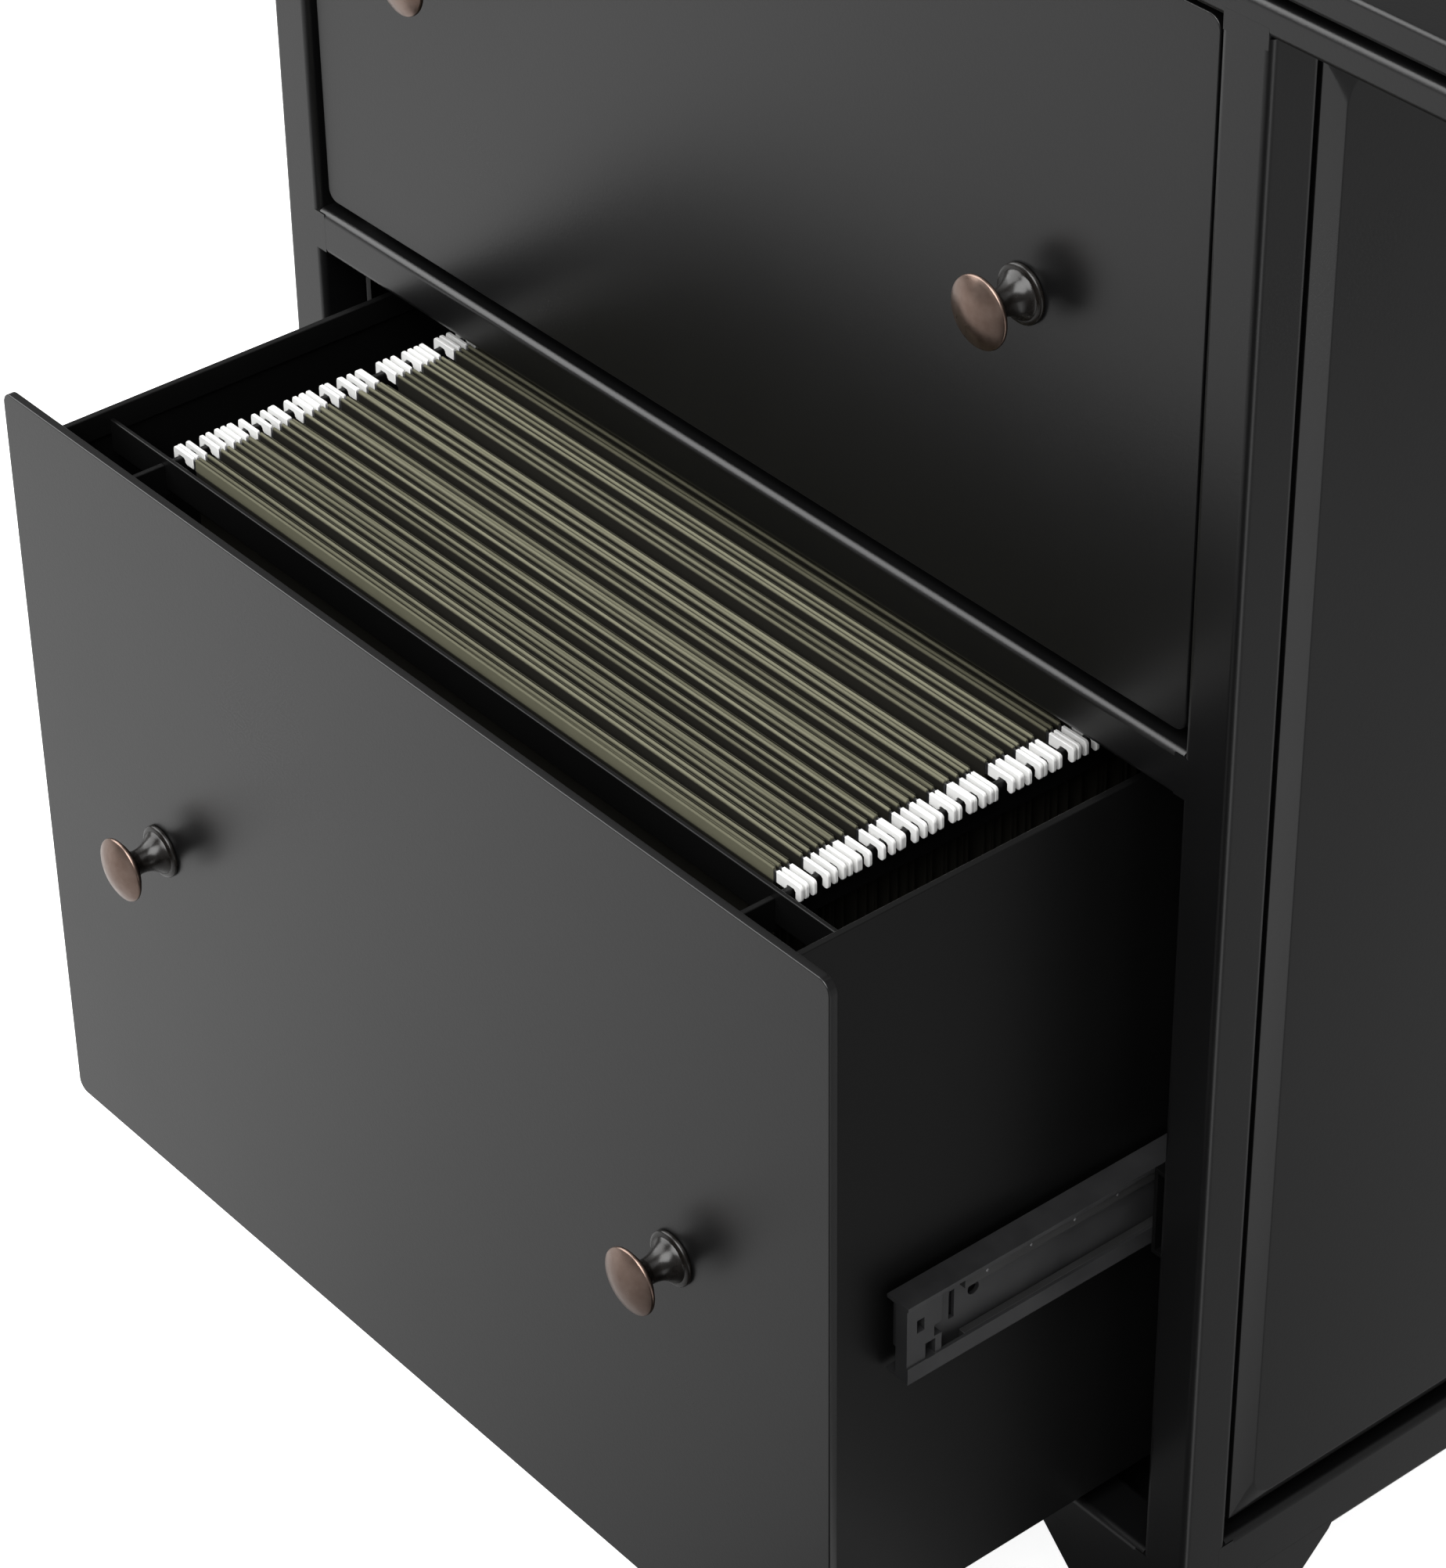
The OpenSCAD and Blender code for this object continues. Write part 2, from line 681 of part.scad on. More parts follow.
leg_front_left();
leg_front_right();
leg_back_left();
leg_back_right();
top_rail_front();
top_rail_back();
top_cross_rails();
mid_rail_front();
bottom_rail_front();
bottom_rail_back();
bottom_side_rails();
foot_gussets();
foot_glides();
side_panel_left();
side_panel_right();
back_panel();
floor_pan();
top_panel();
top_spacers();
top_screws();
slide_brackets();
back_screws();
upper_outer_member_left();
upper_outer_member_right();
lower_outer_member_left();
lower_outer_member_right();
slide_screws();
upper_middle_member_left();
upper_middle_member_right();
upper_ball_cages();
lower_middle_member_left();
lower_middle_member_right();
lower_ball_cages();
upper_drawer_front();
upper_box_front();
upper_box_left();
upper_box_right();
upper_box_back();
upper_box_bottom();
upper_inner_member_left();
upper_inner_member_right();
upper_knobs();
upper_knob_roses();
upper_knob_screws();
lower_drawer_front();
lower_box_front();
lower_box_left();
lower_box_right();
lower_box_back();
lower_box_bottom();
lower_inner_member_left();
lower_inner_member_right();
lower_knobs();
lower_knob_roses();
lower_knob_screws();
file_bars();
file_rails();
folders();
folder_hooks();
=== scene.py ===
"""A black steel filing cabinet with two drawers, put together in the order of its assembly."""
import json
import math

import bmesh
import bpy
from mathutils import Matrix, Vector


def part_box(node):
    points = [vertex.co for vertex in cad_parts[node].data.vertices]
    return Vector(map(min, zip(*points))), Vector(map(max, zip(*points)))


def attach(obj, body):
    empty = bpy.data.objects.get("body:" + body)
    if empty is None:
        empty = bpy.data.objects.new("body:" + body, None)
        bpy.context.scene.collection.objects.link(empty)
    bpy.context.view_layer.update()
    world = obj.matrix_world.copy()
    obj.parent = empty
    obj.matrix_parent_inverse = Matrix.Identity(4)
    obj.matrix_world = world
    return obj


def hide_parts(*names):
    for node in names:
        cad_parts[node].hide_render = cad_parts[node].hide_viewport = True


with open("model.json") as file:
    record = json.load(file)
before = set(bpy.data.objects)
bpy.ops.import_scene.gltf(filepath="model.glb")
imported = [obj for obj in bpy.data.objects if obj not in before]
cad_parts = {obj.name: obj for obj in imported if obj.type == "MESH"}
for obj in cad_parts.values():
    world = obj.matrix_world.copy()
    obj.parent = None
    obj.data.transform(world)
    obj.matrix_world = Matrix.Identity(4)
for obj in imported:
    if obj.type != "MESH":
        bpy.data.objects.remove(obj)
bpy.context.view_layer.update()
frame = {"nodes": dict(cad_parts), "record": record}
MM = 0.001
BODY_OF = {n: b for b, nodes in frame["record"]["behaviour"]["bodies"].items() for n in nodes}
SLOT_OF = {s["node"]: s["material_slot"] for s in frame["record"]["subparts"]}

# ---- Studio ------------------------------------------------------------------------
# A pale floor, an even pale room and two wide soft lights high at the front. The camera
# stands at the front right and looks down on the open drawer.
rail_lo, rail_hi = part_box("mid_rail_front")
front_mid = Vector((0, rail_lo[1], rail_lo[2]))

camera_data = bpy.data.cameras.new("camera")
camera_data.lens = 114.2
camera_data.sensor_width = 36
camera_data.clip_end = 50
camera = bpy.data.objects.new("camera", camera_data)
bpy.context.collection.objects.link(camera)
YAW, TILT, ROLL = math.radians(50.9), math.radians(54.36), math.radians(-0.865)
turn = Matrix.Rotation(YAW, 4, "Z") @ Matrix.Rotation(TILT, 4, "X") @ Matrix.Rotation(ROLL, 4, "Z")
STAND = Vector((1.0287, -0.8342, 0.8406))
camera.matrix_world = Matrix.Translation(front_mid + STAND) @ turn
bpy.context.scene.camera = camera
bpy.context.scene.view_settings.view_transform = "Standard"


class Value:
    """A socket inside a node tree. Arithmetic on it adds Math nodes."""

    def __init__(self, tree, socket):
        self.tree = tree
        self.socket = socket

    def node(self, kind, settings=None, out=0, **inputs):
        """Adds a node: its settings first, then its sockets by name or place."""
        made = self.tree.nodes.new(kind)
        for key, value in (settings or {}).items():
            if key == "stops":
                ramp = made.color_ramp.elements
                while len(ramp) < len(value):
                    ramp.new(0.5)
                for stop, (place, colour) in zip(ramp, value):
                    stop.position = place
                    stop.color = colour
            else:
                setattr(made, key, value)
        for key, value in inputs.items():
            socket = made.inputs[int(key[1:]) if key[0] == "_" else key.replace("_", " ")]
            if isinstance(value, Value):
                self.tree.links.new(value.socket, socket)
            else:
                socket.default_value = value
        return Value(self.tree, made.outputs[out])

    def math(self, operation, other=0.0):
        return self.node("ShaderNodeMath", {"operation": operation}, _0=self, _1=other)

    def __add__(self, other):
        return self.math("ADD", other)

    def __mul__(self, other):
        return self.math("MULTIPLY", other)

    def __sub__(self, other):
        return self.math("SUBTRACT", other)

    def __rsub__(self, other):
        return self.node("ShaderNodeMath", {"operation": "SUBTRACT"}, _0=other, _1=self)

    __radd__ = __add__
    __rmul__ = __mul__

    def noise(self, scale, detail=3.0, roughness=0.5):
        return self.node("ShaderNodeTexNoise", Vector=self, Scale=scale, Detail=detail,
                         Roughness=roughness)

    def spread(self, low, high):
        """Moves a value that varies about 0.5 to the range low to high."""
        return self.node("ShaderNodeMapRange", {"clamp": True}, _0=self, _1=0.25, _2=0.75,
                         _3=low, _4=high)

    def tint(self, dark, light):
        """Two colours mixed by this value."""
        return self.node("ShaderNodeMix", {"data_type": "RGBA"}, 2, _0=self, _6=(*dark, 1),
                         _7=(*light, 1))

    def bump(self, height_m, strength=1.0):
        return self.node("ShaderNodeBump", Height=self, Distance=height_m, Strength=strength)


def new_material(name):
    """An empty material, its shader, and the piece's own coordinates in metres."""
    material = bpy.data.materials.new(name)
    material.use_nodes = True
    shader = material.node_tree.nodes["Principled BSDF"]
    root = Value(material.node_tree, None)
    place = root.node("ShaderNodeTexCoord", out=3)
    return material, shader, place


def feed(shader, **inputs):
    """Sets or links the shader's sockets by name."""
    for key, value in inputs.items():
        socket = shader.inputs[key.replace("_", " ")]
        if isinstance(value, Value):
            value.tree.links.new(value.socket, socket)
        else:
            socket.default_value = value


def staged(name, corners, material):
    """A flat sheet that isn't part of the object."""
    mesh = bpy.data.meshes.new(name)
    mesh.from_pydata(corners, [], [(0, 1, 2, 3)])
    mesh.materials.append(material)
    sheet = bpy.data.objects.new(name, mesh)
    bpy.context.collection.objects.link(sheet)
    return sheet


def square(half, height):
    return [(-half, -half, height), (half, -half, height), (half, half, height),
            (-half, half, height)]


pale, shader, place = new_material("pale_floor")
feed(shader, Base_Color=place.noise(0.6).spread(0, 1).tint((0.84, 0.84, 0.84), (0.87, 0.87, 0.87)),
     Roughness=0.7, Emission_Color=(1, 1, 1, 1), Emission_Strength=0.86)
staged("floor", square(9.0, 0), pale)

# Only reflections see this sheet on the floor, and it glows though it is no lamp: it paints
# the reflections of a room. Its glow goes by the direction from the front right leg on the
# right, and from the middle of the cabinet elsewhere. It is pale at the front left, black at
# the front right and grey along the right side.
leg_lo, leg_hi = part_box("leg_front_right")
painted_reflection, shader, place = new_material("reflected_cloth")


def away_from(x, y):
    return place.node("ShaderNodeVectorMath", {"operation": "SUBTRACT"}, _0=place, _1=(x, y, 0))


def shade_around(away, stops):
    """Brightness by direction in degrees from a point on the floor, over 2."""
    angle = away.node("ShaderNodeTexGradient", {"gradient_type": "RADIAL"}, 1, Vector=away)
    ramp = [(((a + 180) % 360) / 360, (v / 2, v / 2, v / 2, 1)) for a, v in stops]
    return angle.node("ShaderNodeValToRGB", {"stops": ramp}, Fac=angle)


from_leg = away_from(leg_hi[0], leg_lo[1])
right = shade_around(from_leg, [(181, 0.01), (290, 0.01), (326, 0.01), (339, 0.9), (346, 1.6),
                                (356, 1.4), (6, 0.26), (28, 0.29), (46, 0.29), (90, 0.5),
                                (179, 1.0)])
on_right = shade_around(from_leg, [(181, 0), (288, 0), (291, 2), (150, 2), (156, 0)])
# Painted shade: on the right the glow is dimmer close to the leg, as the cabinet's shade on the
# floor.
far = from_leg.node("ShaderNodeVectorMath", {"operation": "LENGTH"}, 1, _0=from_leg)
painted_shade_near_leg = far.node("ShaderNodeMapRange", {"interpolation_type": "SMOOTHSTEP"}, _0=far, _1=0.05,
                _2=0.55, _3=0.72, _4=1.0)
left = shade_around(away_from(0, 0), [(181, 1.04), (222, 1.09), (250, 0.72), (278, 0.43),
                                      (296, 0.01), (322, 0.01), (0, 0.2), (70, 0.34),
                                      (110, 0.6), (179, 1.0)])
shade = on_right * right * painted_shade_near_leg + (1 - on_right) * left
feed(shader, Base_Color=(0, 0, 0, 1), Specular_IOR_Level=0.0,
     Emission_Color=shade.node("ShaderNodeCombineColor", _0=shade, _1=shade, _2=shade),
     Emission_Strength=2.0)
glowing_reflection_sheet = staged("reflected_cloth", square(6.0, 0.001), painted_reflection)
glowing_reflection_sheet.visible_camera = False
glowing_reflection_sheet.visible_diffuse = False
glowing_reflection_sheet.visible_shadow = False
glowing_reflection_sheet.visible_transmission = False
glowing_reflection_sheet.visible_volume_scatter = False

world = bpy.data.worlds.new("room")
bpy.context.scene.world = world
world.use_nodes = True
world.node_tree.nodes["Background"].inputs["Color"].default_value = (1, 1, 1, 1)
world.node_tree.nodes["Background"].inputs["Strength"].default_value = 0.25


def soft_light(name, place, aim, size, watts):
    data = bpy.data.lights.new(name, "AREA")
    data.shape = "RECTANGLE"
    data.size, data.size_y = size
    data.energy = watts
    light = bpy.data.objects.new(name, data)
    light.location = place
    light.rotation_euler = (Vector(aim) - Vector(place)).to_track_quat("-Z", "Y").to_euler()
    bpy.context.collection.objects.link(light)


soft_light("key", (-2.4, -1.2, 2.5), (0, 0, 0.3), (3.0, 3.0), 120)
soft_light("fill", (0.9, -1.9, 2.9), (0, 0, 0.3), (2.6, 2.6), 150)

# ---- Frame -------------------------------------------------------------------------
# Square steel tube with small round corners, welded into a box: four legs, rails under
# the top, a rail between the drawers and rails at the foot, all powder-coated black.
BLACK = (0.0020, 0.0020, 0.0021)


def powder_coat(name, colour=BLACK, roughness=0.30, sheen=0.5):
    """Black powder coat: fine orange peel, faint cloudiness and a little dust."""
    material, shader, place = new_material(name)
    cloud = place.noise(7, 4)
    peel = place.noise(900, 2)
    dust = place.noise(2600, 1).spread(-0.4, 1.2)
    lighter = [c * 1.3 + 0.0005 for c in colour]
    feed(shader, Base_Color=cloud.spread(0, 1).tint(colour, lighter),
         Roughness=cloud.spread(roughness - 0.03, roughness + 0.03) + dust * 0.03,
         Normal=peel.bump(0.00004, 0.5), Specular_IOR_Level=sheen)
    return material


coat = powder_coat("black_powder_coat")


def finish(obj, body, slot, *nodes, material=None):
    """Rides the piece on its body, gives it the material if one is given and hides the CAD nodes it
    stands for. The slot is not used.
    """
    if material:
        obj.data.materials.clear()
        obj.data.materials.append(material)
    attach(obj, body)
    if nodes:
        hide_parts(*nodes)


def link(name, mesh):
    obj = bpy.data.objects.new(name, mesh)
    bpy.context.collection.objects.link(obj)
    return obj


def soften(obj, width, segments=2, angle=35):
    """Rounds the sharp edges and keeps flat faces flat."""
    for poly in obj.data.polygons:
        poly.use_smooth = True
    obj.data.set_sharp_from_angle(angle=math.radians(angle))
    if width:
        bevel = obj.modifiers.new("edges", "BEVEL")
        bevel.width = width
        bevel.segments = segments
        bevel.limit_method = "ANGLE"
        bevel.angle_limit = math.radians(angle)
    weigh = obj.modifiers.new("normals", "WEIGHTED_NORMAL")
    weigh.keep_sharp = True
    weigh.weight = 80


def dressed(node, name, material, width=0.3 * MM, segments=2, angle=35):
    """A copy of a CAD node's mesh, merged, with its edges rounded."""
    mesh = frame["nodes"][node].data.copy()
    work = bmesh.new()
    work.from_mesh(mesh)
    bmesh.ops.remove_doubles(work, verts=work.verts, dist=0.002 * MM)
    bmesh.ops.dissolve_limit(work, angle_limit=math.radians(0.4), verts=work.verts,
                             edges=work.edges)
    work.to_mesh(mesh)
    work.free()
    obj = link(name, mesh)
    soften(obj, width, segments, angle)
    finish(obj, BODY_OF[node], SLOT_OF[node], node, material=material)
    return obj


for node in ("leg_front_left", "leg_front_right", "leg_back_left", "leg_back_right",
             "top_rail_front", "top_rail_back", "top_cross_rails", "mid_rail_front",
             "bottom_rail_front", "bottom_rail_back", "bottom_side_rails"):
    dressed(node, node + "_tube", coat, 0)


def solids(node):
    """The lowest and highest corners of each loose solid in a CAD node."""
    work = bmesh.new()
    work.from_mesh(frame["nodes"][node].data)
    bmesh.ops.remove_doubles(work, verts=work.verts, dist=0.002 * MM)
    left_over = set(work.verts)
    boxes = []
    while left_over:
        found = [left_over.pop()]
        for vert in found:
            for edge in vert.link_edges:
                other = edge.other_vert(vert)
                if other in left_over:
                    left_over.remove(other)
                    found.append(other)
        boxes.append([[pick(v.co[i] for v in found) for i in range(3)] for pick in (min, max)])
    work.free()
    return boxes


# ---- Gussets and welds -------------------------------------------------------------
# Triangular plates under the rails at each leg. Their welds, and those of the rails, are
# ground flush, so the metal runs smoothly from the legs into the rails.
FILL, PROUD, WELD_DEPTH = 3.2 * MM, 0.02 * MM, 2.4 * MM


def plate(work, outline_uv, to_place, depth):
    """A flat plate: its outline on the outer face, and its depth behind that."""
    faces = [[work.verts.new(to_place(u, v, d)) for u, v in outline_uv] for d in (0, depth)]
    work.faces.new(faces[0])
    work.faces.new(reversed(faces[1]))
    for i in range(len(outline_uv)):
        j = (i + 1) % len(outline_uv)
        work.faces.new((faces[0][i], faces[1][i], faces[1][j], faces[0][j]))


def mesh_of(name, work):
    """A mesh from a finished bmesh, its faces turned outwards."""
    bmesh.ops.recalc_face_normals(work, faces=work.faces)
    mesh = bpy.data.meshes.new(name)
    work.to_mesh(mesh)
    work.free()
    return mesh


def from_bmesh(name, work):
    return link(name, mesh_of(name, work))


case_lo, case_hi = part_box("leg_front_left")[0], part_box("leg_back_right")[1]
case_mid = [(a + b) / 2 for a, b in zip(case_lo, case_hi)]
work = bmesh.new()
for lo, hi in solids("foot_gussets"):
    thin = 0 if hi[0] - lo[0] < hi[1] - lo[1] else 1
    wide = 1 - thin
    out = 1 if hi[thin] > case_mid[thin] else -1
    inward = 1 if hi[wide] < case_mid[wide] else -1
    face = (hi if out > 0 else lo)[thin] + out * PROUD
    start = (lo if inward > 0 else hi)[wide]
    reach = hi[2] - lo[2]

    def to_place(u, v, d):
        spot = [0, 0, hi[2] + v]
        spot[thin] = face - out * d
        spot[wide] = start + inward * u
        return spot

    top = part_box("bottom_side_rails" if thin == 0 else "bottom_rail_front")[1][2] - hi[2] - 1.2 * MM
    plate(work, [(-FILL, top), (FILL, top), (FILL, FILL), (reach + 1.5 * MM, FILL),
                 (reach - 0.6 * MM, -0.3 * MM), (-0.3 * MM, 0.6 * MM - reach),
                 (-FILL, -reach - 1.5 * MM)], to_place, hi[thin] - lo[thin])
gussets = from_bmesh("gusset_plates", work)
soften(gussets, 0, angle=40)
finish(gussets, "case", "black_paint", "foot_gussets", material=coat)

work = bmesh.new()
mid_lo, mid_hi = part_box("mid_rail_front")
top_z = leg_hi[2]
for side in (-1, 1):
    joint = side * mid_hi[0]
    half = mid_hi[2] - 1.0 * MM, mid_lo[2] + 1.0 * MM
    plate(work, [(joint - FILL, half[1]), (joint + FILL, half[1]), (joint + FILL, half[0]),
                 (joint - FILL, half[0])],
          lambda u, v, d: (u, mid_lo[1] - PROUD + d, v), WELD_DEPTH)
    ends = sorted((side * (leg_lo[0] + 1.2 * MM), side * (leg_hi[0] - 1.2 * MM)))
    plate(work, [(ends[0], top_z - FILL), (ends[1], top_z - FILL), (ends[1], top_z + FILL),
                 (ends[0], top_z + FILL)],
          lambda u, v, d: (u, leg_lo[1] - PROUD + d, v), WELD_DEPTH)
welds = from_bmesh("ground_welds", work)
soften(welds, 0, angle=40)
finish(welds, "case", "black_paint", material=coat)

# ---- Side panels -------------------------------------------------------------------
# Each side is one sheet of steel pressed outwards into a raised field with sloping
# borders, and folded back along all four edges.


def outline(w, h, radii, steps=7):
    """A rectangle about the origin with its own radius at each corner, from the lower left."""
    corners = [(-1, -1, 180), (1, -1, 270), (1, 1, 0), (-1, 1, 90)]
    points = []
    for (sx, sy, start), r in zip(corners, radii):
        for i in range(steps + 1):
            a = math.radians(start + 90 * i / steps)
            points.append((sx * (w / 2 - r) + r * math.cos(a), sy * (h / 2 - r) + r * math.sin(a)))
    return points


def join_rings(work, rings):
    """Faces from each ring of vertices to the next, and one over each end."""
    for a, b in zip(rings, rings[1:]):
        for i in range(len(a)):
            j = (i + 1) % len(a)
            work.faces.new((a[i], a[j], b[j], b[i]))
    work.faces.new(rings[0])
    work.faces.new(reversed(rings[-1]))


def pressed(name, rings, to_place):
    """A sheet from rings of (outline, depth), closed at both ends."""
    work = bmesh.new()
    join_rings(work, [[work.verts.new(to_place(u, v, depth)) for u, v in points]
                      for points, depth in rings])
    return from_bmesh(name, work)


BEVEL_W, BEVEL_H, SHEET, FLANGE = 7 * MM, 3.5 * MM, 1.2 * MM, 9.5 * MM
for side, node in ((-1, "side_panel_left"), (1, "side_panel_right")):
    lo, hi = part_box(node)
    w, h = hi[1] - lo[1], hi[2] - lo[2]
    centre = ((lo[1] + hi[1]) / 2, (lo[2] + hi[2]) / 2)
    outer_x = hi[0] if side > 0 else lo[0]
    field = (9 * MM,) * 4
    edge = (0.6 * MM,) * 4
    rings = []
    bend = 1.6 * MM
    slope = math.atan2(BEVEL_H, BEVEL_W)
    steps = 5
    for i in range(steps + 1):
        a = slope * i / steps
        inset = BEVEL_W + bend * (math.tan(slope / 2) - math.sin(a))
        rings.append((outline(w - 2 * inset, h - 2 * inset, field), bend * (1 - math.cos(a))))
    rings.append((outline(w - 0.8 * MM, h - 0.8 * MM, edge), BEVEL_H - 0.1 * MM))
    rings.append((outline(w, h, edge), BEVEL_H + 0.3 * MM))
    rings.append((outline(w, h, edge), BEVEL_H + FLANGE))
    rings.append((outline(w - 2 * SHEET, h - 2 * SHEET, edge), BEVEL_H + FLANGE))
    rings.append((outline(w - 2 * SHEET, h - 2 * SHEET, edge), BEVEL_H + SHEET))
    inset = BEVEL_W + 2 * SHEET
    rings.append((outline(w - 2 * inset, h - 2 * inset, field), SHEET))
    panel = pressed(node + "_pressing", rings,
                    lambda u, v, d: (outer_x - side * d, centre[0] + u, centre[1] + v))
    soften(panel, 0, angle=60)
    finish(panel, "case", "black_paint", node, material=coat)

# ---- Back, floor and slide brackets ------------------------------------------------
# Flat sheets with folded edges, and four channels inside the legs that carry the slides.
# The inside parts take a darker, duller copy of the black coat: painted shade where the light hardly
# reaches inside the case and drawers.
shaded_inner_coat = powder_coat("shaded_inner_powder_coat", (0.0018, 0.0018, 0.0018), 0.36, 0.22)
dressed("back_panel", "back_sheet", coat, 0.25 * MM)
dressed("floor_pan", "floor_sheet", shaded_inner_coat, 0.25 * MM)
dressed("slide_brackets", "bracket_channels", shaded_inner_coat, 0.25 * MM)

# ---- Top ---------------------------------------------------------------------------
# An inverted tray of sheet steel with a rounded upper edge and a rim that curls in at its
# foot. Washers hold it clear of the rails, and screws from below hold it down.
lo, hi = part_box("top_panel")
w, d, height = hi[0] - lo[0], hi[1] - lo[1], hi[2] - lo[2]
corner = 4 * MM
round_r = 1.6 * MM
curl = 2.5 * MM


def tray_ring(inset, depth):
    return outline(w - 2 * inset, d - 2 * inset, (max(corner - inset, 0.4 * MM),) * 4), depth


rings = [tray_ring(SHEET, SHEET), tray_ring(SHEET, height - curl), tray_ring(curl, height - SHEET),
         tray_ring(curl + 2 * MM, height - SHEET), tray_ring(curl + 2 * MM, height)]
rings += [tray_ring(curl * (1 - math.sin(a)), height - curl * (1 - math.cos(a)))
          for a in (math.radians(15 * i) for i in range(7))]
rings += [tray_ring(round_r * (1 - math.cos(a)), round_r * (1 - math.sin(a)))
          for a in (math.radians(15 * i) for i in range(7))]
rings.append(tray_ring(4 * MM, 0))
mid_y = (lo[1] + hi[1]) / 2
top = pressed("top_tray", rings, lambda u, v, depth: (u, mid_y + v, hi[2] - depth))
soften(top, 0, angle=50)
finish(top, "case", "black_paint", "top_panel", material=coat)

# ---- Feet --------------------------------------------------------------------------
# Black plastic glides plugged into the legs, and the washers under the top, moulded in
# the same plastic.


def moulded(name, colour, roughness=0.5, scale=500):
    """Moulded plastic with a fine spark-eroded texture."""
    material, shader, place = new_material(name)
    cloud = place.noise(40, 3)
    feed(shader, Base_Color=cloud.spread(0, 1).tint(colour, [c * 1.4 + 0.002 for c in colour]),
         Roughness=cloud.spread(roughness - 0.06, roughness + 0.06),
         Normal=place.noise(scale, 2).bump(0.00005, 0.6))
    return material


black_plastic = moulded("black_plastic", (0.012, 0.012, 0.012))
dressed("foot_glides", "glides", black_plastic, 0.6 * MM, 3)
dressed("top_spacers", "washers", black_plastic, 0.2 * MM)

# ---- Screws ------------------------------------------------------------------------
# Pan-head screws with a hexagon socket and a dark zinc finish: up through the rails into
# the top, through the back sheet, through the slides, and from inside the boxes into knobs.
zinc, shader, place = new_material("dark_zinc")
scratch = place.noise(300, 4, 0.7)
feed(shader, Base_Color=scratch.spread(0, 1).tint((0.22, 0.22, 0.23), (0.42, 0.42, 0.43)),
     Metallic=1.0, Roughness=scratch.spread(0.28, 0.5))


def new_tree(name, **inputs):
    """An empty Geometry Nodes tree with named inputs, given as their socket types."""
    tree = bpy.data.node_groups.new(name, "GeometryNodeTree")
    tree.interface.new_socket("Geometry", in_out="INPUT", socket_type="NodeSocketGeometry")
    tree.interface.new_socket("Geometry", in_out="OUTPUT", socket_type="NodeSocketGeometry")
    for label, kind in inputs.items():
        tree.interface.new_socket(label, in_out="INPUT", socket_type="NodeSocket" + kind)
    entry = tree.nodes.new("NodeGroupInput")
    sockets = {o.name: Value(tree, o) for o in entry.outputs if o.name}
    return tree, sockets


def close_tree(tree, geometry, material):
    """Every tree ends in Realize Instances and Set Material."""
    real = geometry.node("GeometryNodeRealizeInstances", Geometry=geometry)
    shown = real.node("GeometryNodeSetMaterial", Geometry=real, Material=material)
    exit_node = tree.nodes.new("NodeGroupOutput")
    tree.links.new(shown.socket, exit_node.inputs["Geometry"])


def grown(name, mesh, tree, **values):
    """Runs the tree on a mesh and keeps the result as a plain mesh."""
    obj = link(name, mesh)
    grow = obj.modifiers.new("grow", "NODES")
    grow.node_group = tree
    for item in tree.interface.items_tree:
        if item.item_type == "SOCKET" and item.in_out == "INPUT" and item.name in values:
            grow[item.identifier] = values[item.name]
    seen = obj.evaluated_get(bpy.context.evaluated_depsgraph_get())
    result = bpy.data.meshes.new_from_object(seen)
    obj.modifiers.remove(grow)
    obj.data = result
    result.name = name
    return obj


def screw_shape(shank_r, length, head_r, head_h, thread=1 * MM, steps=18):
    """A screw that points up from under its head, as rings about its axis."""
    socket, deep = head_r * 0.42, -head_h * 0.45
    rings = [(socket * 0.1, deep, True), (socket, deep, True), (socket, -head_h + 0.1 * MM, True),
             (socket * 1.2, -head_h, False), (head_r * 0.7, -head_h, False),
             (head_r * 0.93, -head_h * 0.75, False), (head_r, -head_h * 0.35, False),
             (head_r, 0, False), (shank_r, 0, False)]
    for i in range(1, int(length / thread)):
        rings += [(shank_r, i * thread, False), (shank_r * 0.86, (i + 0.5) * thread, False)]
    rings.append((shank_r * 0.6, length, False))
    work = bmesh.new()
    loops = []
    for r, z, six_sided in rings:
        loop = []
        for i in range(steps):
            a = 2 * math.pi * i / steps
            away = r / math.cos((a % (math.pi / 3)) - math.pi / 6) * 0.87 if six_sided else r
            loop.append(work.verts.new((away * math.cos(a), away * math.sin(a), z)))
        loops.append(loop)
    join_rings(work, loops)
    return from_bmesh("screw", work)


screw_tree, given = new_tree("screws_at_points", Screw="Object", Material="Material")
aim = given["Geometry"].node("GeometryNodeInputNamedAttribute", {"data_type": "FLOAT_VECTOR"},
                             Name="aim")
facing = aim.node("FunctionNodeAlignRotationToVector", {"axis": "Z"}, Vector=aim)
shape = aim.node("GeometryNodeObjectInfo", out="Geometry", Object=given["Screw"])
placed = shape.node("GeometryNodeInstanceOnPoints", Points=given["Geometry"], Instance=shape,
                    Rotation=facing)
close_tree(screw_tree, placed, given["Material"])

